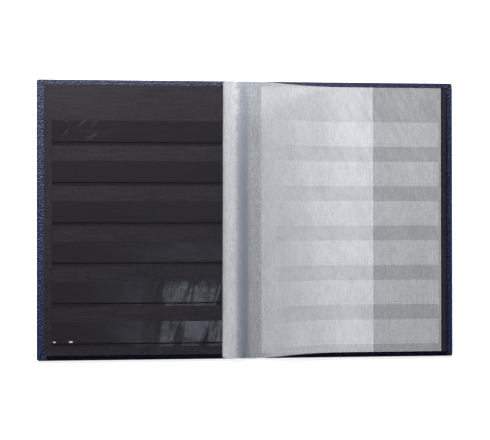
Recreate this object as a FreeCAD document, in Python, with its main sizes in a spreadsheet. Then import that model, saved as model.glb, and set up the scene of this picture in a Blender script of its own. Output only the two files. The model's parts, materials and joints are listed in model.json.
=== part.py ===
# An open A5 stamp stockbook: a hard case, black card leaves with film pockets, and thin interleaves.
# Frame in millimetres: origin under the middle of the spine, +X to the right page, +Y to the head, +Z up.
import FreeCAD
import Part
import Sketcher
import math
import os
import re

LEAVES_PER_SIDE = 4
STRIPS_PER_PAGE = 6

DIMENSIONS = {
    "page_width": 148.0,
    "page_height": 215.0,
    "gutter_half": 14.0,       # spine centre to the inner edge of a card
    "fore_margin": 7.0,        # cover beyond the card at the fore edge
    "head_margin": 5.0,        # cover beyond the card at head and tail
    "cloth": 0.5,              # leatherette thickness
    "board": 2.0,
    "corner_radius": 2.0,
    "edge_radius": 0.7,
    "turn_in": 15.0,
    "mitre_width": 0.25,       # where the turned-in borders meet at a corner
    "mitre_depth": 0.25,
    "pastedown": 0.3,
    "paper_gap": 0.1,          # pastedown to the turned-in border
    "spine_card": 1.0,
    "spine_edge": 1.1,         # spine board beyond the fold line
    "joint_gap": 6.0,          # spine board to cover board
    "groove_depth": 0.6,
    "groove_flank": 1.5,
    "lining": 0.2,
    "flap_width": 12.0,
    "card": 0.5,
    "film": 0.1,
    "pocket_gap": 0.1,         # room for a stamp behind the film
    "glassine": 0.08,
    "sheet_clear": 0.05,       # air between neighbouring sheets
    "fold_clear": 0.45,        # spare half thickness when the album is shut
    "guard": 0.3,
    "strip_pitch": 32.0,
    "first_seam": 45.7,        # head of the page to the first seam
    "strip_margin": 6.5,       # side of the card to the end of a strip
    "strip_foot": 2.6,         # film below the seam
    "seam": 1.0,
    "pocket_height": 17.3,     # film above the seam
    "interleaf_inset": 3.5,    # interleaf beyond the card's inner edge
    "interleaf_width": 147.0,
    "interleaf_trim": 0.3,     # card beyond the interleaf at head and tail
    "curl_radius": 10.2,       # turned sheet, at its bound edge
    "crest_flat": 4.0,
    "crest_radius": 55.0,
    "slope_angle": 22.0,
    "landing_radius": 125.0,
}

doc = FreeCAD.newDocument("stamp_album")
sizes = doc.addObject("Spreadsheet::Sheet", "sizes")
for row, (name, number) in enumerate(DIMENSIONS.items(), start=1):
    sizes.set(f"A{row}", name)
    sizes.set(f"B{row}", str(number))
    sizes.setAlias(f"B{row}", name)
doc.recompute()

# Places worked out from the driving dimensions
COVER_HEIGHT = "(page_height + 2 * head_margin)"
CASE_HEIGHT = f"({COVER_HEIGHT} - 2 * cloth)"
WINDOW_HEIGHT = f"({COVER_HEIGHT} - 2 * turn_in)"
COVER_TOP = "(2 * cloth + board)"
BOARD_TOP = "(cloth + board)"
LINING_TOP = "(cloth + spine_card + lining)"
FILM_RISE = "(pocket_gap + film)"
LEAF_BASE = f"({COVER_TOP} + sheet_clear + {FILM_RISE})"
LEAF_PITCH = f"(card + 2 * {FILM_RISE} + 2 * glassine + 3 * sheet_clear)"
STACK_TOP = f"({LEAF_BASE} + {LEAVES_PER_SIDE - 1} * {LEAF_PITCH} + card + {FILM_RISE})"
FOLD_X = f"({STACK_TOP} - {LINING_TOP} + fold_clear)"
SPINE_HALF = f"({FOLD_X} + spine_edge)"
BOARD_X = f"({SPINE_HALF} + joint_gap)"
FORE_X = "(gutter_half + page_width + fore_margin)"
BOARD_LENGTH = f"({FORE_X} - cloth - {BOARD_X})"
LEAF_X = "(gutter_half + page_width / 2)"
BOUND_X = "(gutter_half - interleaf_inset)"
INTERLEAF_HEIGHT = "(page_height - 2 * interleaf_trim)"

sub_parts = []


def expanded(formula):
    def link(word):
        name = word.group()
        return "sizes." + name if name in DIMENSIONS else name

    return re.sub(r"[a-z_]+", link, formula)


def measure(formula):
    return float(sizes.evalExpression(expanded(formula)))


def bind(feature, prop, formula):
    feature.setExpression(prop, expanded(formula))


def turned_about_z(degrees):
    return FreeCAD.Placement(FreeCAD.Vector(), FreeCAD.Rotation(FreeCAD.Vector(0, 0, 1), degrees))


def place(feature, x="0", y="0", z="0", turned=False):
    if turned:
        feature.Placement = turned_about_z(180)
    bind(feature, "Placement.Base.x", x)
    bind(feature, "Placement.Base.y", y)
    bind(feature, "Placement.Base.z", z)


def keep(feature, label):
    feature.Label = label
    sub_parts.append(feature)
    return feature


def origin_feature(body, role):
    return next(item for item in body.Origin.OriginFeatures if item.Role == role)


def new_body(label):
    body = doc.addObject("PartDesign::Body", label)
    body.AllowCompound = True
    return keep(body, label)


def new_sketch(body, plane):
    sketch = body.newObject("Sketcher::SketchObject", body.Name + "_sketch")
    sketch.AttachmentSupport = (origin_feature(body, plane), [""])
    sketch.MapMode = "FlatFace"
    return sketch


# One coordinate of a sketched corner, bound to its formula and signed by the order of the two points
def bind_corner(sketch, line, kind, axis, formula):
    number = measure(formula)
    if abs(number) < 1e-9:
        sketch.addConstraint(Sketcher.Constraint("PointOnObject", line, 1, axis))
        return
    ends = (-1, 1, line, 1) if number > 0 else (line, 1, -1, 1)
    index = sketch.addConstraint(Sketcher.Constraint(kind, *ends, abs(number)))
    bind(sketch, f"Constraints[{index}]", formula if number > 0 else f"-({formula})")


def draw_polygon(sketch, corners):
    first = sketch.GeometryCount
    points = [FreeCAD.Vector(measure(u), measure(v), 0) for u, v in corners]
    count = len(points)
    for i in range(count):
        sketch.addGeometry(Part.LineSegment(points[i], points[(i + 1) % count]), False)
    for i in range(count):
        sketch.addConstraint(Sketcher.Constraint("Coincident", first + i, 2, first + (i + 1) % count, 1))
    for i, (u, v) in enumerate(corners):
        bind_corner(sketch, first + i, "DistanceX", -2, u)
        bind_corner(sketch, first + i, "DistanceY", -1, v)


def pad(body, sketch, length, symmetric):
    feature = body.newObject("PartDesign::Pad", body.Name + "_pad")
    feature.Profile = sketch
    feature.SideType = "Symmetric" if symmetric else "One side"
    bind(feature, "Length", length)
    sketch.Visibility = False
    return feature


# A flat rectangular sheet, drawn about its own centre
def flat_sheet(label, width, height, thickness, x, z):
    body = new_body(label)
    sketch = new_sketch(body, "XY_Plane")
    across, along = f"{width} / 2", f"{height} / 2"
    corners = [(f"-{across}", f"-{along}"), (across, f"-{along}"), (across, along), (f"-{across}", along)]
    draw_polygon(sketch, corners)
    pad(body, sketch, thickness, False)
    place(body, x=x, z=z)
    return body


# A ribbon of constant section along the whole height, its section drawn on the right of the spine
def long_section(label, corners, length, turned):
    body = new_body(label)
    sketch = new_sketch(body, "XZ_Plane")
    draw_polygon(sketch, corners)
    pad(body, sketch, length, True)
    place(body, turned=turned)
    return body


def box(name, x, y, z, length, width, height):
    feature = doc.addObject("Part::Box", name)
    place(feature, x, y, z)
    bind(feature, "Length", length)
    bind(feature, "Width", width)
    bind(feature, "Height", height)
    return feature


def rounded(name, base, radius, chosen):
    doc.recompute()
    feature = doc.addObject("Part::Fillet", name)
    feature.Base = base
    reach = measure(radius)
    numbered = enumerate(base.Shape.Edges, start=1)
    feature.Edges = [(i, reach, reach) for i, edge in numbered if chosen(edge.BoundBox)]
    return feature


def cut(name, base, tool):
    feature = doc.addObject("Part::Cut", name)
    feature.Base = base
    feature.Tool = tool
    return feature


# The crease of a mitred corner, from inside the window out past the rounded corner
def mitre_tool(name, sign):
    feature = doc.addObject("Part::Box", name + "_crease")
    feature.Placement = turned_about_z(sign * 45)
    bind(feature, "Length", "2 * turn_in")
    bind(feature, "Width", "mitre_width")
    bind(feature, "Height", "2 * mitre_depth")
    back, aside = "mitre_width * sqrt(2) / 2", f"{sign} * mitre_width * sqrt(2) / 4"
    bind(feature, "Placement.Base.x", f"{FORE_X} - turn_in - {back} + {aside}")
    bind(feature, "Placement.Base.y", f"{sign} * ({WINDOW_HEIGHT} / 2 - {back}) - mitre_width * sqrt(2) / 4")
    bind(feature, "Placement.Base.z", f"{COVER_TOP} - mitre_depth")
    return feature


# A cover: the board, and the leatherette wrapped round its three free edges with a mitred border inside
def build_cover(side, turned):
    fore = measure(FORE_X)

    def fore_corner(edge):
        return edge.ZLength > edge.XLength + edge.YLength and edge.XMin > fore / 2

    def outer_rim(edge):
        along_fore = edge.YLength > edge.XLength and edge.XMin > fore / 2
        along_end = edge.XLength > edge.YLength
        return edge.ZLength < 1e-6 and (along_fore or along_end)

    slab = box(side + "_slab", BOARD_X, f"-{CASE_HEIGHT} / 2", "cloth", BOARD_LENGTH, CASE_HEIGHT, "board")
    board = rounded(side + "_core", slab, "corner_radius - cloth", fore_corner)
    wrap = box(
        side + "_wrap", BOARD_X, f"-{COVER_HEIGHT} / 2", "0",
        f"{FORE_X} - {BOARD_X}", COVER_HEIGHT, COVER_TOP,
    )
    wrap_corners = rounded(side + "_wrap_corners", wrap, "corner_radius", fore_corner)
    wrap_rims = rounded(side + "_wrap_rims", wrap_corners, "edge_radius", outer_rim)
    window = box(
        side + "_window", BOARD_X, f"-{WINDOW_HEIGHT} / 2", BOARD_TOP,
        f"{FORE_X} - turn_in - {BOARD_X}", WINDOW_HEIGHT, "2 * cloth",
    )
    hollow = cut(side + "_hollow", wrap_rims, board)
    covering = cut(side + "_covering", hollow, window)
    for corner, sign in (("head", 1), ("tail", -1)):
        covering = cut(f"{side}_{corner}_mitre", covering, mitre_tool(f"{side}_{corner}", sign))
    paper_height = f"({WINDOW_HEIGHT} - 2 * paper_gap)"
    paper = box(
        side + "_paper", f"{BOARD_X} + flap_width", f"-{paper_height} / 2", BOARD_TOP,
        f"{FORE_X} - turn_in - paper_gap - {BOARD_X} - flap_width", paper_height, "pastedown",
    )
    for feature, label in ((board, "board"), (covering, "leatherette"), (paper, "pastedown")):
        copy = doc.addObject("Part::Compound", f"{side}_{label}_piece")
        copy.Links = [feature]
        if turned:
            copy.Placement = turned_about_z(180)
        keep(copy, f"{side}_{label}")


# The covering between the spine and a board, pressed up into a groove
def build_joint(side, turned):
    start, end = SPINE_HALF, BOARD_X
    groove = [(f"{start} + groove_flank", "groove_depth"), (f"{end} - groove_flank", "groove_depth")]
    low = [(start, "0"), *groove, (end, "0")]
    high = [(u, f"{v} + cloth") for u, v in reversed(low)]
    long_section(f"{side}_joint", low + high, COVER_HEIGHT, turned)


# The lining's free flap, from the spine's edge up onto the board
def build_lining_flap(side, turned):
    base = "(cloth + spine_card)"
    low = [(SPINE_HALF, base), (BOARD_X, BOARD_TOP), (f"{BOARD_X} + flap_width", BOARD_TOP)]
    high = [(u, f"{v} + lining") for u, v in reversed(low)]
    long_section(f"{side}_lining_flap", low + high, WINDOW_HEIGHT, turned)


# A leaf's height in the stack: level 0 lies on the cover
def card_base(level):
    return f"({LEAF_BASE} + {level} * {LEAF_PITCH})"


# Film pockets on both faces: each film is welded to the card along its seam and open at the top
def build_strips(label, x, z):
    body = new_body(label)
    sketch = new_sketch(body, "YZ_Plane")
    seam_y, face = "(page_height / 2 - first_seam)", "card / 2"
    inner, outer = f"{face} + pocket_gap", f"{face} + {FILM_RISE}"
    profile = [
        (f"{seam_y} - strip_foot", face),
        (f"{seam_y} + seam", face),
        (f"{seam_y} + seam", inner),
        (f"{seam_y} + pocket_height", inner),
        (f"{seam_y} + pocket_height", outer),
        (seam_y, outer),
        (seam_y, f"{face} + film"),
        (f"{seam_y} - strip_foot", f"{face} + film"),
    ]
    draw_polygon(sketch, profile)
    draw_polygon(sketch, [(u, f"-({v})") for u, v in profile])
    first = pad(body, sketch, "page_width - 2 * strip_margin", True)
    rows = body.newObject("PartDesign::LinearPattern", label + "_rows")
    rows.Originals = [first]
    rows.Direction = (origin_feature(body, "Y_Axis"), [""])
    rows.Reversed = True
    rows.Mode = "Spacing"
    rows.Occurrences = STRIPS_PER_PAGE
    bind(rows, "Offset", "strip_pitch")
    body.Tip = rows
    place(body, x=x, z=z)


# A guard runs level from the card to above the fold, then turns down onto the spine lining
def build_guard(label, level, turned):
    body = new_body(label)
    sketch = new_sketch(body, "XZ_Plane")
    middle = f"({card_base(level)} + card / 2 - {LINING_TOP})"
    run = measure(f"gutter_half - {FOLD_X}")
    small = measure(f"{middle} - guard / 2")
    large = measure(f"{middle} + guard / 2")
    centre = FreeCAD.Vector()
    axis = FreeCAD.Vector(0, 0, 1)

    def quarter(radius):
        return Part.ArcOfCircle(Part.Circle(centre, axis, radius), math.pi / 2, math.pi)

    def line(u1, v1, u2, v2):
        return Part.LineSegment(FreeCAD.Vector(u1, v1, 0), FreeCAD.Vector(u2, v2, 0))

    sketch.addGeometry(line(run, large, 0, large), False)
    sketch.addGeometry(quarter(large), False)
    sketch.addGeometry(line(-large, 0, -small, 0), False)
    sketch.addGeometry(quarter(small), False)
    sketch.addGeometry(line(0, small, run, small), False)
    sketch.addGeometry(line(run, small, run, large), False)
    joins = [(0, 2, 1, 1), (1, 2, 2, 1), (2, 2, 3, 2), (3, 1, 4, 1), (4, 2, 5, 1), (5, 2, 0, 1)]
    for join in joins:
        sketch.addConstraint(Sketcher.Constraint("Coincident", *join))
    for arc in (1, 3):
        sketch.addConstraint(Sketcher.Constraint("Coincident", arc, 3, -1, 1))
        sketch.addConstraint(Sketcher.Constraint("PointOnObject", arc, 1, -2))
        sketch.addConstraint(Sketcher.Constraint("PointOnObject", arc, 2, -1))
    for level_line in (0, 4):
        sketch.addConstraint(Sketcher.Constraint("Horizontal", level_line))
    sketch.addConstraint(Sketcher.Constraint("Vertical", 5))
    for arc, radius, formula in ((1, large, f"{middle} + guard / 2"), (3, small, f"{middle} - guard / 2")):
        index = sketch.addConstraint(Sketcher.Constraint("Radius", arc, radius))
        bind(sketch, f"Constraints[{index}]", formula)
    index = sketch.addConstraint(Sketcher.Constraint("DistanceX", -1, 1, 5, 1, run))
    bind(sketch, f"Constraints[{index}]", f"gutter_half - {FOLD_X}")
    pad(body, sketch, "page_height", True)
    sign = "-" if turned else ""
    place(body, x=f"{sign}{FOLD_X}", z=LINING_TOP, turned=turned)


def build_leaf(number, level, sign, turned):
    x, base = f"{sign}{LEAF_X}", card_base(level)
    sheet_x = f"{sign}({BOUND_X} + interleaf_width / 2)"
    sheet_size = ("interleaf_width", INTERLEAF_HEIGHT, "glassine")
    flat_sheet(f"leaf_{number}_card", "page_width", "page_height", "card", x, base)
    build_strips(f"leaf_{number}_strips", x, f"{base} + card / 2")
    build_guard(f"leaf_{number}_guard", level, turned)
    if level > 0:
        under = f"{base} - {FILM_RISE} - sheet_clear - glassine"
        flat_sheet(f"leaf_{number}_lower_interleaf", *sheet_size, sheet_x, under)
    if level < LEAVES_PER_SIDE - 1:
        over = f"{base} + card + {FILM_RISE} + sheet_clear"
        flat_sheet(f"leaf_{number}_upper_interleaf", *sheet_size, sheet_x, over)


# The turned sheet's path in the XZ plane, as steps of (length or radius, turn in degrees clockwise)
def turned_sheet_steps():
    curl, crest, landing = measure("curl_radius"), measure("crest_radius"), measure("landing_radius")
    slope = measure("slope_angle")
    angle = math.radians(slope)
    drop = 2 * curl - measure("glassine + sheet_clear")
    fall = (drop - (crest + landing) * (1 - math.cos(angle))) / math.sin(angle)
    used = math.pi * curl + measure("crest_flat") + (crest + landing) * angle + fall
    rest = measure("interleaf_width") - used
    return [(curl, 180), (measure("crest_flat"), 0), (crest, slope), (fall, 0), (landing, -slope), (rest, 0)]


# One face of the sheet, parallel to its path at the given distance to the left of the way
def sheet_face_edges(offset):
    x = -measure(BOUND_X)
    z = measure(f"{STACK_TOP} + sheet_clear + glassine / 2")
    heading = math.pi
    edges = []

    def beside(u, v, way):
        return FreeCAD.Vector(u - offset * math.sin(way), 0, v + offset * math.cos(way))

    for size, turn in turned_sheet_steps():
        if turn == 0:
            x2, z2, after = x + size * math.cos(heading), z + size * math.sin(heading), heading
            edges.append(Part.LineSegment(beside(x, z, heading), beside(x2, z2, heading)))
        else:
            side = 1 if turn > 0 else -1
            centre_x, centre_z = x + side * size * math.sin(heading), z - side * size * math.cos(heading)

            def on_arc(way):
                return centre_x - side * size * math.sin(way), centre_z + side * size * math.cos(way)

            after = heading - math.radians(turn)
            half = (heading + after) / 2
            x2, z2 = on_arc(after)
            edges.append(Part.Arc(beside(x, z, heading), beside(*on_arc(half), half), beside(x2, z2, after)))
        x, z, heading = x2, z2, after
    return [edge.toShape() for edge in edges]


# The left page's interleaf, springing from its bound edge in a curl and lying down on the right page
def build_turned_interleaf():
    half = measure("glassine") / 2
    near, far = sheet_face_edges(half), sheet_face_edges(-half)
    caps = [
        Part.LineSegment(near[0].Vertexes[0].Point, far[0].Vertexes[0].Point).toShape(),
        Part.LineSegment(near[-1].Vertexes[-1].Point, far[-1].Vertexes[-1].Point).toShape(),
    ]
    wire = Part.Wire(Part.__sortEdges__(near + far + caps))
    height = measure(INTERLEAF_HEIGHT)
    feature = doc.addObject("Part::Feature", "turned_interleaf")
    feature.Shape = Part.Face(wire).extrude(FreeCAD.Vector(0, height, 0))
    feature.Placement = FreeCAD.Placement(FreeCAD.Vector(0, -height / 2, 0), FreeCAD.Rotation())
    keep(feature, "turned_interleaf")


# The spine: a card stiffener, leatherette turned in over its head and tail, and the lining between
def build_spine():
    spine_width = f"2 * {SPINE_HALF}"
    turn_gap = "(page_height + 2 * paper_gap)"
    stiffener = flat_sheet("spine_board", spine_width, CASE_HEIGHT, "spine_card", "0", "cloth")
    flat_sheet("spine_lining", spine_width, "page_height", "lining", "0", "cloth + spine_card")
    wrap = box(
        "spine_wrap", f"-{SPINE_HALF}", f"-{COVER_HEIGHT} / 2", "0",
        spine_width, COVER_HEIGHT, "2 * cloth + spine_card",
    )
    window = box(
        "spine_window", f"-{SPINE_HALF}", f"-{turn_gap} / 2", "cloth + spine_card",
        spine_width, turn_gap, "2 * cloth",
    )
    hollow = cut("spine_hollow", wrap, stiffener)
    keep(cut("spine_leatherette", hollow, window), "spine_leatherette")


def build_album():
    build_spine()
    for side, turned in (("front", True), ("back", False)):
        build_cover(side, turned)
        build_joint(side, turned)
        build_lining_flap(side, turned)
    for level in range(LEAVES_PER_SIDE):
        build_leaf(level + 1, level, "-", True)
        build_leaf(2 * LEAVES_PER_SIDE - level, level, "", False)
    right_x = f"{BOUND_X} + interleaf_width / 2"
    top_sheet = f"{STACK_TOP} + sheet_clear"
    flat_sheet("right_interleaf", "interleaf_width", INTERLEAF_HEIGHT, "glassine", right_x, top_sheet)
    build_turned_interleaf()
    doc.recompute()


def check_and_write():
    for item in doc.Objects:
        if {"Invalid", "Error"} & set(item.State):
            raise RuntimeError(f"{item.Label} failed to build: {item.State}")
    for feature in sub_parts:
        if feature.Shape.isNull() or not feature.Shape.isValid():
            raise RuntimeError(f"{feature.Label} has no valid shape")
    os.makedirs("parts", exist_ok=True)
    for feature in sub_parts:
        feature.Shape.exportStep(f"parts/{feature.Label}.step")
    print(f"{len(sub_parts)} sub-parts written")


build_album()
check_and_write()
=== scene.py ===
import bpy
import bmesh
import json
import math
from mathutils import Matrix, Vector, noise


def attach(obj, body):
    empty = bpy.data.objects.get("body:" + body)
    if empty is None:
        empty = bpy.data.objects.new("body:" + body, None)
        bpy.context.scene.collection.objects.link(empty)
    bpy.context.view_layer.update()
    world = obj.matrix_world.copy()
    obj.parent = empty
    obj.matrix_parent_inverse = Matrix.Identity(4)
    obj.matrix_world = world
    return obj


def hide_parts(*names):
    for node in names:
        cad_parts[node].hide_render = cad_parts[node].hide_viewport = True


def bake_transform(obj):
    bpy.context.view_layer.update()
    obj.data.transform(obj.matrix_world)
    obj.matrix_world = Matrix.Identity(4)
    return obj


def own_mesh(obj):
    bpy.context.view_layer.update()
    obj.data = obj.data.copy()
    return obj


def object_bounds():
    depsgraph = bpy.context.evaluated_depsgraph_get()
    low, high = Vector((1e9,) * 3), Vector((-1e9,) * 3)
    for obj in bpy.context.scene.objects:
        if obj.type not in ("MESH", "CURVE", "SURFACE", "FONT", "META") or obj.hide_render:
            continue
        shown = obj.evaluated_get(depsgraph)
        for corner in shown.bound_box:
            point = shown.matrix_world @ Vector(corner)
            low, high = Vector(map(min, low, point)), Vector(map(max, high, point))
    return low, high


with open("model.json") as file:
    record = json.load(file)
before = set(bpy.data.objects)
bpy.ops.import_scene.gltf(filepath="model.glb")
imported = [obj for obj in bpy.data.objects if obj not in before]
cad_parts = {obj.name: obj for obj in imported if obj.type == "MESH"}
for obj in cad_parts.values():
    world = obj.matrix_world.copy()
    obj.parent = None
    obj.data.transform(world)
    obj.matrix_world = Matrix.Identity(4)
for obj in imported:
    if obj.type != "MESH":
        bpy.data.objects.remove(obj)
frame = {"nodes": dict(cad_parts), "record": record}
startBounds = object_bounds()
halfWidth, halfHeight = list(startBounds[1])[:2]
mm = 0.001


class Wire:  # a socket whose arithmetic adds Math nodes
    def __init__(self, tree, socket=None):
        self.tree = tree
        self.socket = socket

    def node(self, kind, settings=None, inputs=None, out=0):
        made = self.tree.nodes.new(kind)
        for key, value in (settings or {}).items():
            setattr(made, key, value)
        for key, value in (inputs or {}).items():
            if isinstance(value, Wire):
                self.tree.links.new(value.socket, made.inputs[key])
            else:
                made.inputs[key].default_value = value
        return Wire(self.tree, made.outputs[out])

    def math(self, operation, first, second=0.0):
        return self.node("ShaderNodeMath", {"operation": operation}, {0: first, 1: second})

    def __add__(self, other):
        return self.math("ADD", self, other)

    def __radd__(self, other):
        return self.math("ADD", other, self)

    def __sub__(self, other):
        return self.math("SUBTRACT", self, other)

    def __rsub__(self, other):
        return self.math("SUBTRACT", other, self)

    def __mul__(self, other):
        return self.math("MULTIPLY", self, other)

    def __truediv__(self, other):
        return self.math("DIVIDE", self, other)

    def absolute(self):
        return self.math("ABSOLUTE", self)

    def between(self, low, high):  # 0 below low, 1 above high
        inputs = {"Value": self, "From Min": low, "From Max": high}
        return self.node("ShaderNodeMapRange", {"interpolation_type": "SMOOTHSTEP"}, inputs)

    def before(self, low, high):  # 1 below low, 0 above high
        return 1.0 - self.between(low, high)

    def within(self, startLow, startHigh, endLow, endHigh):  # 1 on a stretch with soft ends
        return self.between(startLow, startHigh) * self.before(endLow, endHigh)

    def mix(self, first, second):  # colours, self is the share of the second
        inputs = {"Factor": self, 6: first, 7: second}
        return self.node("ShaderNodeMix", {"data_type": "RGBA"}, inputs, out=2)


def newMaterial(name):
    material = bpy.data.materials.new(name)
    material.use_nodes = True
    tree = material.node_tree
    shader = tree.nodes["Principled BSDF"]
    place = Wire(tree).node("ShaderNodeTexCoord", out="Object")
    return material, tree, shader, place


def stretched(place, scale, lean=0.0):  # long features lean that far to the right of upright
    if lean:
        place = place.node("ShaderNodeMapping", None, {"Vector": place, "Rotation": (0.0, 0.0, lean)})
    return place.node("ShaderNodeMapping", None, {"Vector": place, "Scale": scale})


def cloud(place, scale, detail=3.0, roughness=0.55):
    inputs = {"Vector": place, "Scale": scale, "Detail": detail, "Roughness": roughness}
    return place.node("ShaderNodeTexNoise", None, inputs)


def streaks(place, scale, lean=0.0, detail=2.0, roughness=0.55):
    return cloud(stretched(place, scale, lean), 1.0, detail, roughness)


def axes(place):
    parts = place.node("ShaderNodeSeparateXYZ", None, {0: place}).socket.node
    return [Wire(place.tree, socket) for socket in parts.outputs]


def plug(tree, shader, socket, wire):
    tree.links.new(wire.socket, shader.inputs[socket])


def bump(tree, shader, height, strength, distance):
    inputs = {"Strength": strength, "Distance": distance, "Height": height}
    plug(tree, shader, "Normal", height.node("ShaderNodeBump", None, inputs))


def rgb(red, green, blue):
    return (red, green, blue, 1.0)


leatheretteLook = {
    "deep": rgb(0.006, 0.010, 0.044),
    "high": rgb(0.035, 0.048, 0.155),
    "worn": rgb(0.055, 0.065, 0.130),
    "crease": rgb(0.002, 0.003, 0.009),
    "cellsPerMetre": 760.0, "finePerMetre": 5200.0, "patchPerMetre": 38.0, "rubPerMetre": 210.0,
    "pull": 0.0006, "pullPerMetre": 420.0,    # draws the cells out of round
    "depth": 0.0006,
    "rubbed": 0.0011,                         # width of the worn rim
    "mitre": (0.0002, 0.0007),                # half width of the crease in each corner's turn-in
    "mitreFrom": (0.155, 0.157),
    "shine": 0.45,
}


def leatheretteMaterial():
    look = leatheretteLook
    material, tree, shader, place = newMaterial("leatherette")
    drift = cloud(place, look["pullPerMetre"], 2.0)
    pulled = place.node("ShaderNodeMixRGB", {"blend_type": "ADD"}, {0: look["pull"], 1: place, 2: drift})
    cells = place.node("ShaderNodeTexVoronoi", {"feature": "SMOOTH_F1"},
                       {"Vector": pulled, "Scale": look["cellsPerMetre"], "Smoothness": 0.35})
    patch = cloud(place, look["patchPerMetre"])
    height = (1.0 - cells) * 0.8 + cloud(place, look["finePerMetre"]) * 0.25
    x, y = [along.absolute() for along in axes(place)[:2]]
    rimX = x.between(halfWidth - look["rubbed"], halfWidth)
    rimY = y.between(halfHeight - look["rubbed"], halfHeight)
    rubs = cloud(place, look["rubPerMetre"], 4.0).between(0.42, 0.68)
    rim = x.math("MAXIMUM", rimX, rimY) * rubs
    body = height.between(0.45, 0.95).mix(look["deep"], look["high"])
    tone = (patch.between(0.3, 0.75) * 0.35).mix(body, look["deep"])
    tone = (rim * 0.45).mix(tone, look["worn"])
    slope = (x - halfWidth) - (y - halfHeight)
    mitre = slope.absolute().before(*look["mitre"]) * x.between(*look["mitreFrom"])
    plug(tree, shader, "Base Color", (mitre * 0.85).mix(tone, look["crease"]))
    plug(tree, shader, "Roughness", 0.36 + patch * 0.14 - height * 0.08)
    shader.inputs["Specular IOR Level"].default_value = look["shine"]
    bump(tree, shader, height, 1.0, look["depth"])
    return material


# where the strips lie on a page, in metres, and what lies above a seam, in millimetres
strips = {
    "firstSeam": 0.0618, "pitch": 0.032, "pocket": 0.0173, "foot": 0.0026, "inner": 0.0205, "outer": 0.1555,
    "softSide": 0.0002, "softTop": 0.0003,
    "endLine": (0.0001, 0.0004), "endHead": (0.079, 0.0795), "endTail": (-0.1015, -0.101),
    "weld": (-0.75, -0.55, 0.2, 0.4),
    "pocketTop": (17.1, 17.4),
}


def stripRow(y):  # millimetres above the nearest seam below, from -foot upwards
    lift = (y - (strips["firstSeam"] - strips["foot"])) / strips["pitch"]
    return (lift - lift.math("FLOOR", lift)) * (strips["pitch"] / mm) - strips["foot"] / mm


def stripSpan(x, y):  # 1 over the width and rows of the strips
    inner, outer, soft = strips["inner"], strips["outer"], strips["softSide"]
    top = strips["firstSeam"] + strips["pocket"]
    sides = x.absolute().within(inner - soft, inner, outer, outer + soft)
    return sides * y.before(top, top + strips["softTop"])


# the three papers share one grain, and only the page has welds
paperGrain = {"pulp": 850.0, "fibre": (260.0, 2400.0, 260.0), "rib": (60.0, 640.0, 60.0), "broad": 16.0,
              "depth": 0.00009, "shine": 0.19}
greyboardLook = {"dark": rgb(0.19, 0.18, 0.165), "light": rgb(0.33, 0.32, 0.29),
                 "fleck": rgb(0.45, 0.44, 0.41)}
endpaperLook = {"dark": rgb(0.0132, 0.0114, 0.0154), "light": rgb(0.0240, 0.0211, 0.0274),
                "fleck": rgb(0.056, 0.053, 0.061)}
# crease is painted shade in the weld grooves of the page
cardLook = {**endpaperLook, "crease": rgb(0.002, 0.002, 0.002)}


def cardMaterial(name, look):
    grain = paperGrain
    material, tree, shader, place = newMaterial(name)
    x, y = axes(place)[:2]
    pulp = cloud(place, grain["pulp"], 2.0, 0.6)
    fibre = streaks(place, grain["fibre"], 0.5, 3.0)
    rib = streaks(place, grain["rib"], detail=1.0)
    broad = cloud(place, grain["broad"], 2.0)
    tone = (pulp * 0.55 + broad * 0.15 + rib * 0.3).between(0.38, 0.62).mix(look["dark"], look["light"])
    tone = (fibre.between(0.62, 0.78) * 0.3).mix(tone, look["fleck"])
    rough = 0.50 + pulp * 0.16
    if "crease" in look:  # the welds and the strips' outer ends press grooves into the card, with painted shade as dark lines in them
        weld = stripRow(y).within(*strips["weld"]) * stripSpan(x, y)
        off = (x.absolute() - strips["outer"]).absolute()
        end = off.before(*strips["endLine"]) * y.before(*strips["endHead"]) * y.between(*strips["endTail"])
        tone = (weld + end * 0.7).mix(tone, look["crease"])
        rough = rough + weld * 0.4
    plug(tree, shader, "Base Color", tone)
    plug(tree, shader, "Roughness", rough)
    shader.inputs["Specular IOR Level"].default_value = grain["shine"]
    bump(tree, shader, pulp * 0.7 + fibre * 0.5 + rib * 0.4, 0.3, grain["depth"])
    return material


filmLook = {
    "clear": rgb(0.0305, 0.0274, 0.0346), "cloudy": rgb(0.30, 0.30, 0.33), "tuckGlint": rgb(0.62, 0.62, 0.66),
    "alpha": 0.30, "rough": 0.19, "index": 1.75, "shine": 0.27, "depth": 0.0016,
    "swell": (22.0, 70.0, 22.0), "pull": (80.0, 15.0, 60.0), "knot": (70.0, 60.0, 60.0), "dust": 2600.0,
    "crinkled": (-0.088, -0.050), "crinkledBelow": (-0.055, -0.030),
    "scuff": (420.0, 60.0, 60.0), "scuffed": (-0.152, -0.146, -0.128, -0.100),
    "scuffedAbove": (0.060, 0.066),
    "tuckGlints": [(-0.1537, -0.0967, 0.0015), (-0.1408, -0.0966, 0.0019)], "tuckTall": 0.45,
}


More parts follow.
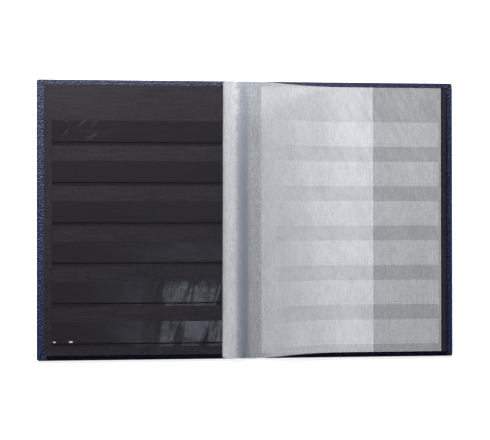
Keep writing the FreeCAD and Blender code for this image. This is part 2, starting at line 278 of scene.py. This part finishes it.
def filmMaterial():
    look = filmLook
    material, tree, shader, place = newMaterial("film")
    x, y = axes(place)[:2]
    swell = streaks(place, look["swell"], 0.25, 1.5)
    pull = streaks(place, look["pull"], 0.24, 1.5)
    knot = streaks(place, look["knot"])
    crinkled = x.between(*look["crinkled"]) * y.before(*look["crinkledBelow"])
    dust = cloud(place, look["dust"], 2.0).between(0.70, 0.82)
    tuckGlint = 0.0
    for spotX, spotY, reach in look["tuckGlints"]:  # small puckers at a weld, their glints painted in as pale spots
        wide = (x - spotX) / reach
        tall = (y - spotY) / (reach * look["tuckTall"])
        tuckGlint = tuckGlint + (wide * wide + tall * tall).before(0.4, 1.0)
    # faint scuffs on the first strip, their glint painted in as pale haze
    scuff = streaks(place, look["scuff"], 0.85, 3.0).between(0.52, 0.75)
    scuffGlint = scuff * x.within(*look["scuffed"]) * y.between(*look["scuffedAbove"])
    tone = (dust + scuffGlint * 0.28).mix(look["clear"], look["cloudy"])
    plug(tree, shader, "Base Color", tuckGlint.mix(tone, look["tuckGlint"]))
    plug(tree, shader, "Roughness", look["rough"] + swell * 0.05 + dust * 0.2)
    weld = stripRow(y).within(*strips["weld"])
    plug(tree, shader, "Alpha", (look["alpha"] + dust * 0.04 + scuffGlint * 0.06) * (1.0 - weld) + tuckGlint * 0.5)
    shader.inputs["IOR"].default_value = look["index"]
    shader.inputs["Specular IOR Level"].default_value = look["shine"]
    crinkle = (pull * 0.9 + knot * 0.25) * (crinkled * 0.9 + 0.1)
    bump(tree, shader, swell * 0.22 + crinkle, 1.0, look["depth"])
    return material


# alpha is that of one surface, and a sheet has two
glassineLook = {
    "milk": rgb(0.90, 0.915, 0.945), "shade": rgb(0.66, 0.675, 0.71),
    "denseMilk": rgb(0.585, 0.595, 0.615), "denseShade": rgb(0.430, 0.440, 0.462),
    "alpha": 0.322, "headLightPerMetre": 0.3, "overFilm": 0.112, "rough": 0.42, "shine": 0.4, "depth": 0.0009,
    "pulp": 1250.0, "laid": (1100.0, 150.0, 300.0), "mottle": (60.0, 28.0, 60.0),
    "fold": (150.0, 12.0, 60.0), "slant": (240.0, 30.0, 40.0),
    "creasedHead": (0.0, 0.09), "creasedFore": (0.04, 0.09),
    "seamLight": (0.3, 0.6, 1.1, 1.5), "seamDark": (-0.6, -0.3, 0.1, 0.3),  # millimetres above a seam, for a painted light line and a painted shade line
}
rightLook = {
    "alpha": 0.178, "overFilm": 1.38, "filmLightTone": 1.7, "shows": (0.0, 0.08),
    "foreEdge": (0.1569, 0.1571), "tailEdge": (-0.1069, -0.1067), "edge": 0.25,
}
turnedLook = {
    "coolShade": rgb(0.70, 0.75, 0.88), "coolTo": (-0.003, 0.002),
    "standsFrom": (-0.0135, -0.0045), "valleyTo": (-0.0035, 0.0015), "standsTo": (0.0015, 0.016),
    "curlHead": (0.045, 0.105), "gutterShade": 0.16, "gutterGrain": 0.16,
    "rootBelow": (0.012, 0.018), "rootSpan": (-0.0175, -0.0105, -0.009, -0.008), "root": 0.22,
    "outerTo": (-0.013, -0.009), "outer": 0.295, "outerDense": 0.815,
    "landsFrom": (0.006, 0.02), "landing": 0.130, "shows": (0.0, 0.075), "overFilm": 1.75,
    "freeEdge": (0.1008, 0.1010), "edge": 0.15,
    "crumple": (420.0, 130.0, 300.0), "crumpledHead": (0.06, 0.105), "crumpledTo": (-0.008, 0.004),
    "glareHead": (0.055, 0.1), "glareSpan": (-0.0145, -0.0115, -0.0105, -0.0065), "glare": 0.28,
}


def laidRight(paper, tone, alpha, wave):  # painted lighter over the film, for light the film reflects up, with the welds showing through as a painted light line and a painted shade line
    look, x, y = rightLook, paper["x"], paper["y"]
    shows = stripSpan(x, y) * (x.between(*look["shows"]) * 0.7 + 0.3)
    tone = (shows * paper["film"] * look["filmLightTone"]).mix(paper["dense"], tone)
    seen = shows * (paper["film"] * look["overFilm"] + paper["seamLight"] - paper["seamDark"])
    cut = x.between(*look["foreEdge"]) + y.before(*look["tailEdge"])  # cut edges look whiter
    return tone, alpha + look["alpha"] + seen + cut * look["edge"], wave


def turnedOver(paper, tone, alpha, wave):  # see-through over the gutter and painted darker and bluer there as shade in the valley, crumpled at the head of the curl with a painted glare
    look, x, y = turnedLook, paper["x"], paper["y"]
    # clear marks where the sheet stands over the gutter: see-through there, and painted darker and bluer as
    # shade in the valley, less so at the head
    stands = x.between(*look["standsFrom"]) * (1.0 - x.between(*look["valleyTo"]) * 0.55)
    clear = stands * x.before(*look["standsTo"]) * (1.0 - y.between(*look["curlHead"]) * 0.45)
    root = paper["z"].before(*look["rootBelow"]) * x.within(*look["rootSpan"])
    outer = x.before(*look["outerTo"])
    # over the film the sheet is painted lighter, for light the film reflects up, with the weld lines as
    # painted shade
    seen = stripSpan(x, y) * (paper["film"] - paper["seamDark"] * 0.5) * x.between(*look["shows"])
    alpha = alpha + x.between(*look["landsFrom"]) * look["landing"] + seen * look["overFilm"]
    alpha = alpha - clear * look["gutterShade"] - root * look["root"] + outer * look["outer"]
    alpha = alpha + (paper["pulp"] - 0.5) * clear * look["gutterGrain"]
    alpha = alpha + x.between(*look["freeEdge"]) * look["edge"]
    coolShade = clear * (1.0 - x.between(*look["coolTo"]) * 0.7)
    tone = (outer * look["outerDense"]).mix(coolShade.mix(tone, look["coolShade"]), paper["dense"])
    crumple = streaks(paper["place"], look["crumple"], 0.4)
    wave = wave + crumple * (y.between(*look["crumpledHead"]) * x.before(*look["crumpledTo"])) * 0.7
    # a painted highlight on the crumples at the head of the curl
    glare = y.between(*look["glareHead"]) * x.within(*look["glareSpan"])
    return tone, alpha + glare * crumple.between(0.3, 0.6) * look["glare"], wave


def glassineMaterial(name, finish=None):
    look = glassineLook
    material, tree, shader, place = newMaterial(name)
    x, y, z = axes(place)
    pulp = cloud(place, look["pulp"], 2.0, 0.6)
    laid = streaks(place, look["laid"])
    mottle = streaks(place, look["mottle"], -0.3, 4.0, 0.6)
    fold = streaks(place, look["fold"], -0.12)
    slant = streaks(place, look["slant"], -0.5, 2.5)
    head = y.between(*look["creasedHead"]) * x.between(*look["creasedFore"])  # creases gather here
    fibre = (mottle * 0.2 + pulp * 0.55 + laid * 0.25).between(0.36, 0.64)
    tone = fibre.mix(look["shade"], look["milk"])
    body = (mottle - 0.5) * 0.05 + (pulp - 0.5) * 0.12 + (laid - 0.5) * 0.08
    # the alpha grows towards the head: painted light, the sheets lighter where the key lamp is nearer
    alpha = body + (slant - 0.5) * (head * 0.34 + 0.02) + look["alpha"] + y * look["headLightPerMetre"]
    wave = fold * 0.5 + slant * (head * 0.8 + 0.3)
    if finish:
        row = stripRow(y)
        paper = {"place": place, "x": x, "y": y, "z": z, "pulp": pulp,
                 "dense": fibre.mix(look["denseShade"], look["denseMilk"]),
                 # painted light over the film strips, for light the film reflects up, and a painted light
                 # line and a painted shade line at each weld
                 "film": row.before(*strips["pocketTop"]) * look["overFilm"],
                 "seamLight": row.within(*look["seamLight"]) * 0.04,
                 "seamDark": row.within(*look["seamDark"]) * 0.06}
        tone, alpha, wave = finish(paper, tone, alpha, wave)
    plug(tree, shader, "Base Color", tone)
    plug(tree, shader, "Roughness", look["rough"] + mottle * 0.10)
    plug(tree, shader, "Alpha", alpha)
    shader.inputs["Specular IOR Level"].default_value = look["shine"]
    bump(tree, shader, wave, 0.3, look["depth"])
    return material


clothLook = {
    "lining": {"threadsPerMetre": 900.0,
               "dark": rgb(0.016, 0.016, 0.019), "light": rgb(0.042, 0.042, 0.048)},
    "guard": {"threadsPerMetre": 1200.0,
              "dark": rgb(0.015, 0.015, 0.017), "light": rgb(0.036, 0.035, 0.039)},
    "wearPerMetre": 160.0, "shine": 0.25, "depth": 0.00012,
}


def clothMaterial(name):
    look = clothLook[name]
    material, tree, shader, place = newMaterial(name)
    turn = math.tau * look["threadsPerMetre"]
    warp, weft = [along.math("SINE", along * turn) for along in axes(place)[:2]]
    weave = (warp * weft + 1.0) * 0.5
    wear = cloud(place, clothLook["wearPerMetre"], 4.0)
    plug(tree, shader, "Base Color", (weave * 0.6 + wear * 0.4).mix(look["dark"], look["light"]))
    plug(tree, shader, "Roughness", 0.72 + wear * 0.18)
    shader.inputs["Specular IOR Level"].default_value = clothLook["shine"]
    bump(tree, shader, weave + wear * 0.3, 0.4, clothLook["depth"])
    return material


looks = {
    "leatherette": leatheretteMaterial(),
    "greyboard": cardMaterial("greyboard", greyboardLook),
    "endpaper": cardMaterial("endpaper", endpaperLook),
    "card": cardMaterial("card", cardLook),
    "film": filmMaterial(),
    "glassine": glassineMaterial("glassine"),
    "glassineRight": glassineMaterial("glassineRight", laidRight),
    "glassineTurned": glassineMaterial("glassineTurned", turnedOver),
    "lining": clothMaterial("lining"),
    "guard": clothMaterial("guard"),
}
slotOf = {entry["node"]: entry["material_slot"] for entry in frame["record"]["subparts"]}
for name, node in frame["nodes"].items():
    node.data.materials.clear()
    node.data.materials.append(looks[slotOf[name]])
print("materials on", len(slotOf), "nodes")

sharpAngle = 0.7  # radians, edges past it stay crisp


def newPiece(name, bm, slot, nodes, look=None):
    for edge in bm.edges:
        if len(edge.link_faces) == 2 and edge.calc_face_angle(0.0) > sharpAngle:
            edge.smooth = False
    for face in bm.faces:
        face.smooth = True
    mesh = bpy.data.meshes.new(name)
    bm.to_mesh(mesh)
    bm.free()
    piece = bpy.data.objects.new(name, mesh)
    bpy.context.scene.collection.objects.link(piece)
    mesh.materials.append(looks[look or slot])
    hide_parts(*nodes)
    return piece


def thicken(bm, thickness):
    bmesh.ops.recalc_face_normals(bm, faces=bm.faces[:])
    bm.normal_update()
    for vert in bm.verts:  # half on each side
        vert.co += vert.normal * (thickness / 2)
    bmesh.ops.solidify(bm, geom=bm.faces[:], thickness=thickness)
    bmesh.ops.recalc_face_normals(bm, faces=bm.faces[:])


# the interleaves in millimetres, the turned one along its developed length from the bound edge
sheets = {"width": 147.0, "height": 214.4, "thick": 0.08, "bound": 10.5, "level": 7.67,
          "segments": (0.9, 3.2), "slowWave": (46.0, 60.0, 3.7), "quickWave": (17.0, 31.0, 8.1)}
rightLie = {"wave": 0.12, "raised": 0.06, "flatTo": 12.0, "offset": 90.0}
turnedBow = {
    "curl": 10.2, "crest": 55.0, "landing": 125.0,    # radii
    "flat": 4.0, "slope": 22.0,                       # a length on top of the curl, degrees of the fall
    "lift": 0.13,                                     # above the right sheet at the free edge
    "wave": 0.22, "raised": 0.12,
    "calm": 25.0, "loosens": (30.0, 90.0),            # the cockling grows along these
    "lies": (75.0, 95.0),                             # comes to lie on the right sheet and follows it
    "tailWider": 0.9, "leanTo": 40.0,                 # the curl is a little wider at the tail
    "curlEnd": 36.0,                                  # where the curl passes over into the crest
}


def share(value, low, high):
    return min(1.0, max(0.0, (value - low) / (high - low)))


def bowSteps():  # radius and turn of each arc, length and no turn of each straight
    bow = turnedBow
    angle = math.radians(bow["slope"])
    drop = 2 * bow["curl"] - bow["lift"]
    fall = (drop - (bow["crest"] + bow["landing"]) * (1 - math.cos(angle))) / math.sin(angle)
    return [(bow["curl"], 180.0), (bow["flat"], 0.0), (bow["crest"], bow["slope"]), (fall, 0.0),
            (bow["landing"], -bow["slope"]), (sheets["width"], 0.0)]


def stepLength(size, turn):
    return abs(math.radians(turn)) * size if turn else size


def onBow(length):  # point and heading after that developed length
    x, z = -sheets["bound"], sheets["level"]
    heading = math.pi
    for size, turn in bowSteps():
        part = min(length, stepLength(size, turn))
        if turn:
            side = math.copysign(1.0, turn)
            after = heading - side * part / size
            x += side * size * (math.sin(heading) - math.sin(after))
            z += side * size * (math.cos(after) - math.cos(heading))
            heading = after
        else:
            x += part * math.cos(heading)
            z += part * math.sin(heading)
        length -= part
        if length <= 0:
            break
    return x, z, heading


def fallMiddle():  # developed length at the middle of the straight fall
    steps = bowSteps()
    return sum(stepLength(*step) for step in steps[:3]) + steps[3][0] / 2


def cockle(u, v, size):
    slow, quick = [noise.noise(Vector((u / across, v / along, seed)))
                   for across, along, seed in (sheets["slowWave"], sheets["quickWave"])]
    return size * (slow + 0.4 * quick)


def sheetPiece(name, low, high, where, node, look):
    across, along = sheets["segments"]
    bm = bmesh.new()
    bmesh.ops.create_grid(bm, x_segments=max(2, round((high - low) / across)),
                          y_segments=round(sheets["height"] / along), size=0.5)
    for vert in bm.verts:
        vert.co = where(low + (vert.co.x + 0.5) * (high - low), vert.co.y * sheets["height"]) * mm
    thicken(bm, sheets["thick"] * mm)
    return newPiece(name, bm, "glassine", [node], look)


def rightRise(u, v):
    swell = cockle(u + rightLie["offset"], v, rightLie["wave"])
    return share(u, 0.0, rightLie["flatTo"]) * max(0.0, swell + rightLie["raised"])


def rightPlace(u, v):
    return Vector((sheets["bound"] + u, v, sheets["level"] + rightRise(u, v)))


def turnedPlace(u, v):
    bow = turnedBow
    x, z, heading = onBow(u)
    swell = cockle(u, v, bow["wave"] * (0.5 + share(u, *bow["loosens"]))) * share(u, 0.0, bow["calm"])
    lean = bow["tailWider"] * v / sheets["height"] * math.sin(share(u, 0.0, bow["leanTo"]) * math.pi)
    rest = max(0.0, swell + bow["raised"]) + rightRise(x - sheets["bound"], v)
    rise = swell + (rest - swell) * share(u, *bow["lies"])
    return Vector((x - math.sin(heading) * rise + lean, v, z + math.cos(heading) * rise))


# each part rides a body, and lists the piece it lies on, a joint and a level in millimetres
turnedParts = {
    "turnedSheetCurl": {"from": 0.0, "to": turnedBow["curlEnd"], "rides": "leaf_4",
                        "on": "leaf_4_card", "joint": "front_cover_turn", "axis": (0, 0, 1),
                        "level": 7.72, "keep": 0.005},
    "turnedSheetCrest": {"from": turnedBow["curlEnd"], "to": fallMiddle(), "rides": "spine",
                         "on": "turnedSheetCurl", "joint": "back_cover_turn", "axis": (1, 0, 0),
                         "level": -0.15, "keep": 0.005},
    "turnedSheetLanding": {"from": fallMiddle(), "to": sheets["width"], "rides": "turned_interleaf",
                           "on": "rightSheet", "joint": "back_cover_turn", "axis": (0, 0, 1),
                           "level": 7.95, "keep": 0.003},
}
for name, part in turnedParts.items():
    piece = sheetPiece(name, part["from"], part["to"], turnedPlace, "turned_interleaf", "glassineTurned")
    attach(piece, part["rides"])
    anchor = tuple(along * part["level"] * mm for along in part["axis"])
    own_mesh(piece)
rightSheet = sheetPiece("rightSheet", 0.0, sheets["width"], rightPlace, "right_interleaf", "glassineRight")
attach(rightSheet, "right_interleaf")
for name, part in turnedParts.items():
    flatWidth = (part["to"] - part["from"]) * mm
print("interleaves laid")


# bands of cloth along the whole height in millimetres, their section drawn on the right of the spine
bands = {
    "fold": (6.33, 1.7), "spineHalf": 7.43, "boardEdge": 13.43, "hingeLevel": 0.5, "cuts": 24,
    "coverHeight": 225.0, "coverThick": 0.5, "grooveDepth": 0.6, "grooveFlank": 3.2, "grooveSteps": 24,
    "flapHeight": 195.0, "liningThick": 0.2, "flapLevels": (1.6, 2.6), "flapOnBoard": 12.0,
    "pageHeight": 215.0, "guardThick": 0.3, "guardEnd": 14.0, "guardLevels": (1.8, 3.01, 4.22, 5.43),
}
foldX, foldZ = bands["fold"]


def bandPiece(name, section, height, thick, slot, node, side):
    bm = bmesh.new()
    row = [bm.verts.new((side * x * mm, -height / 2 * mm, z * mm)) for x, z in section]
    chain = [bm.edges.new(pair) for pair in zip(row, row[1:])]
    swept = bmesh.ops.extrude_edge_only(bm, edges=chain)
    moved = [item for item in swept["geom"] if isinstance(item, bmesh.types.BMVert)]
    bmesh.ops.translate(bm, verts=moved, vec=(0, height * mm, 0))
    rails = [edge for edge in bm.edges if abs(edge.verts[0].co.y - edge.verts[1].co.y) > 0.5 * height * mm]
    bmesh.ops.subdivide_edges(bm, edges=rails, cuts=bands["cuts"], use_grid_fill=True)
    thicken(bm, thick * mm)
    return newPiece(name, bm, slot, [node])


def bend(piece, side, start, end):
    cover = "front_cover" if side < 0 else "back_cover"
    place = [(side * x * mm, 0, z * mm) for x, z in (start, end)]
    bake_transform(piece)


def straight(start, end, steps):
    return [tuple(a + (b - a) * step / steps for a, b in zip(start, end)) for step in range(steps + 1)]


def guardBend(radius, steps=12):
    angles = [math.pi / 2 * step / steps for step in range(steps, -1, -1)]
    return [(foldX - radius * math.sin(angle), foldZ + radius * math.cos(angle)) for angle in angles]


def guardRun(radius):
    return straight((foldX, foldZ + radius), (bands["guardEnd"], foldZ + radius), 6)


def grooveSection():
    low, high = bands["spineHalf"], bands["boardEdge"]
    spots = []
    for step in range(bands["grooveSteps"] + 1):
        along = step / bands["grooveSteps"]
        press = min(1.0, along * bands["grooveFlank"], (1 - along) * bands["grooveFlank"])
        depth = bands["grooveDepth"] * press * press * (3 - 2 * press)
        spots.append((low + (high - low) * along, bands["coverThick"] / 2 + depth))
    return spots


def flapSection():
    low, high = zip((bands["spineHalf"], bands["boardEdge"]), bands["flapLevels"])
    return straight(low, high, 12) + straight(high, (high[0] + bands["flapOnBoard"], high[1]), 6)[1:]


for side, word, leaves in ((-1, "front", (1, 2, 3, 4)), (1, "back", (8, 7, 6, 5))):
    edges = [(x, bands["hingeLevel"]) for x in (bands["spineHalf"], bands["boardEdge"])]
    groove = bandPiece(word + "Groove", grooveSection(), bands["coverHeight"], bands["coverThick"],
                       "leatherette", word + "_joint", side)
    bend(groove, side, *edges)
    flap = bandPiece(word + "Flap", flapSection(), bands["flapHeight"], bands["liningThick"],
                     "lining", word + "_lining_flap", side)
    bend(flap, side, *edges)
    for leaf, radius in zip(leaves, bands["guardLevels"]):
        guard = (bands["pageHeight"], bands["guardThick"], "guard", f"leaf_{leaf}_guard", side)
        bent = bandPiece(f"leaf{leaf}GuardBend", guardBend(radius), *guard)
        bend(bent, side, (foldX - radius, foldZ), (foldX, foldZ + radius))
        run = bandPiece(f"leaf{leaf}GuardRun", guardRun(radius), *guard)
        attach(run, f"leaf_{leaf}")
print("bands bent")


studio = {
    "floor": rgb(0.93, 0.93, 0.93), "floorGlow": 0.8, "floorRough": 0.8, "floorHalf": 4.0, "floorDrop": 0.1,
    "lights": {
        "key": {"at": (-0.45, 1.05, 0.95), "aim": (-0.02, 0.0, 0.0), "size": 0.45, "power": 36.0,
                "tint": (1.0, 1.0, 1.0)},
        "window": {"at": (-0.085, -0.253, 1.2), "aim": (-0.045, -0.075, 0.0), "size": 0.17, "power": 1.05,
                   "tint": (0.78, 0.86, 1.0)},
    },
    "worldLow": 0.0425, "worldHigh": 0.011, "worldTurns": (0.25, 1.0),
    "backdrop": 0.88,  # only the camera sees it
    "cameraAt": (-0.02830, -0.00143, 0.50119), "cameraTurn": (0.002625, -0.051864, -0.001360),
    "lens": 45.194, "sensor": 36.0, "clipStart": 0.01,
}


def addToScene(name, data):
    thing = bpy.data.objects.new(name, data)
    bpy.context.scene.collection.objects.link(thing)
    return thing


def layFloor():
    bm = bmesh.new()
    bmesh.ops.create_grid(bm, x_segments=1, y_segments=1, size=studio["floorHalf"])
    bmesh.ops.translate(bm, verts=bm.verts[:], vec=(0, 0, -studio["floorDrop"] * mm))
    mesh = bpy.data.meshes.new("floor")
    bm.to_mesh(mesh)
    bm.free()
    material, _, shader, _ = newMaterial("floor")
    shader.inputs["Base Color"].default_value = studio["floor"]
    shader.inputs["Roughness"].default_value = studio["floorRough"]
    shader.inputs["Emission Color"].default_value = rgb(1.0, 1.0, 1.0)
    shader.inputs["Emission Strength"].default_value = studio["floorGlow"]
    mesh.materials.append(material)
    addToScene("floor", mesh)


def hangLights():
    for name, light in studio["lights"].items():
        data = bpy.data.lights.new(name, "AREA")
        data.size = light["size"]
        data.energy = light["power"]
        data.color = light["tint"]
        lamp = addToScene(name, data)
        lamp.location = light["at"]
        towards = Vector(light["aim"]) - Vector(light["at"])
        lamp.rotation_euler = towards.to_track_quat("-Z", "Y").to_euler()


def lightWorld():
    world = bpy.data.worlds.new("studio")
    world.use_nodes = True
    sky = Wire(world.node_tree).node("ShaderNodeTexCoord", out="Generated")
    up = axes(sky)[2].between(*studio["worldTurns"])
    seen = sky.node("ShaderNodeLightPath", out="Is Camera Ray") * studio["backdrop"]
    glow = studio["worldLow"] - up * (studio["worldLow"] - studio["worldHigh"])
    background = world.node_tree.nodes["Background"]
    background.inputs["Color"].default_value = rgb(1.0, 1.0, 1.0)
    plug(world.node_tree, background, "Strength", glow + seen)
    bpy.context.scene.world = world
    bpy.context.scene.view_settings.view_transform = "Standard"


def setCamera():
    data = bpy.data.cameras.new("camera")
    data.lens = studio["lens"]
    data.sensor_width = studio["sensor"]
    data.sensor_fit = "HORIZONTAL"
    data.clip_start = studio["clipStart"]
    data.dof.use_dof = False
    camera = addToScene("camera", data)
    camera.location = studio["cameraAt"]
    camera.rotation_euler = studio["cameraTurn"]
    bpy.context.scene.camera = camera


layFloor()
hangLights()
lightWorld()
setCamera()
print("studio ready")
